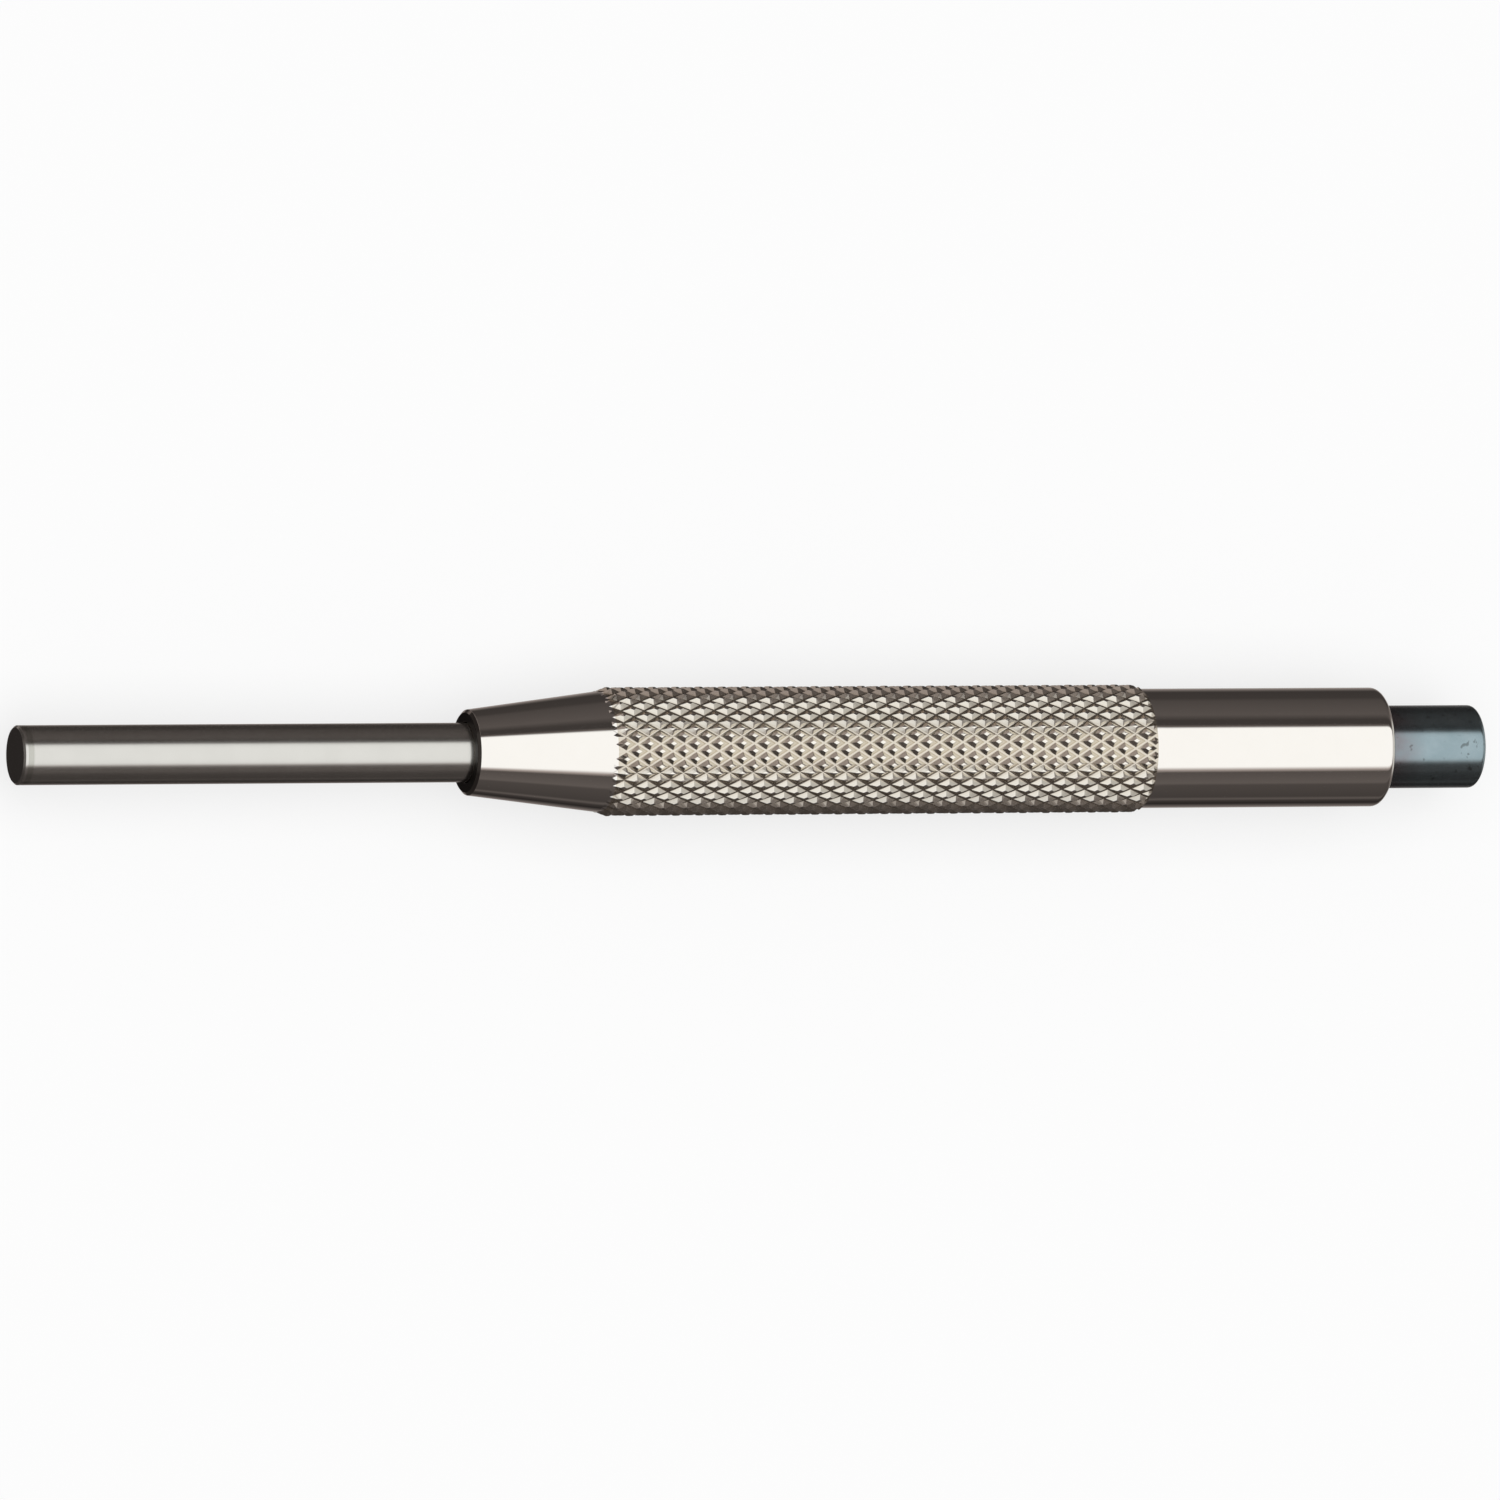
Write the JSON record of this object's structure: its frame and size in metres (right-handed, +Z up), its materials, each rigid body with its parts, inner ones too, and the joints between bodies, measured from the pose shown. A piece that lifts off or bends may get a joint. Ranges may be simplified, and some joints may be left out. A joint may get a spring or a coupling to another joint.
{
  "type": "pin punch",
  "caption": "Slim pin punch: a ground drive pin on a short struck head slides and turns inside a knurled, tapered guide sleeve.",
  "frame": {"origin": "centre of the tool's length and width, on the surface that its knurled grip rests on", "axes": "+X along the tool from the tip to the struck head, +Z up, +Y to the side"},
  "size_m": [0.102, 0.0084, 0.0085],
  "materials": {
    "nickel_plate": "polished nickel plate, bright and slightly warm",
    "dark_steel": "turned steel, lightly oiled",
    "blued_steel": "blued steel, satin with small marks",
    "ground_steel": "ground hardened steel, bright satin",
    "ring_rubber": "black nitrile rubber"
  },
  "bodies": {
    "sleeve": {"guide_sleeve": "nickel_plate", "end_bush": "dark_steel"},
    "ring": {"friction_ring": "ring_rubber"},
    "punch": {"striker": "blued_steel", "drive_pin": "ground_steel"}
  },
  "joints": [
    {"name": "punch_slide", "type": "slide", "parent": "sleeve", "child": "ring", "axis": [1, 0, 0], "range_m": [0, 0.031]},
    {"name": "punch_turn", "type": "hinge", "parent": "ring", "child": "punch", "pos_m": [0, 0, 0.00425], "axis": [1, 0, 0], "continuous": true}
  ]
}
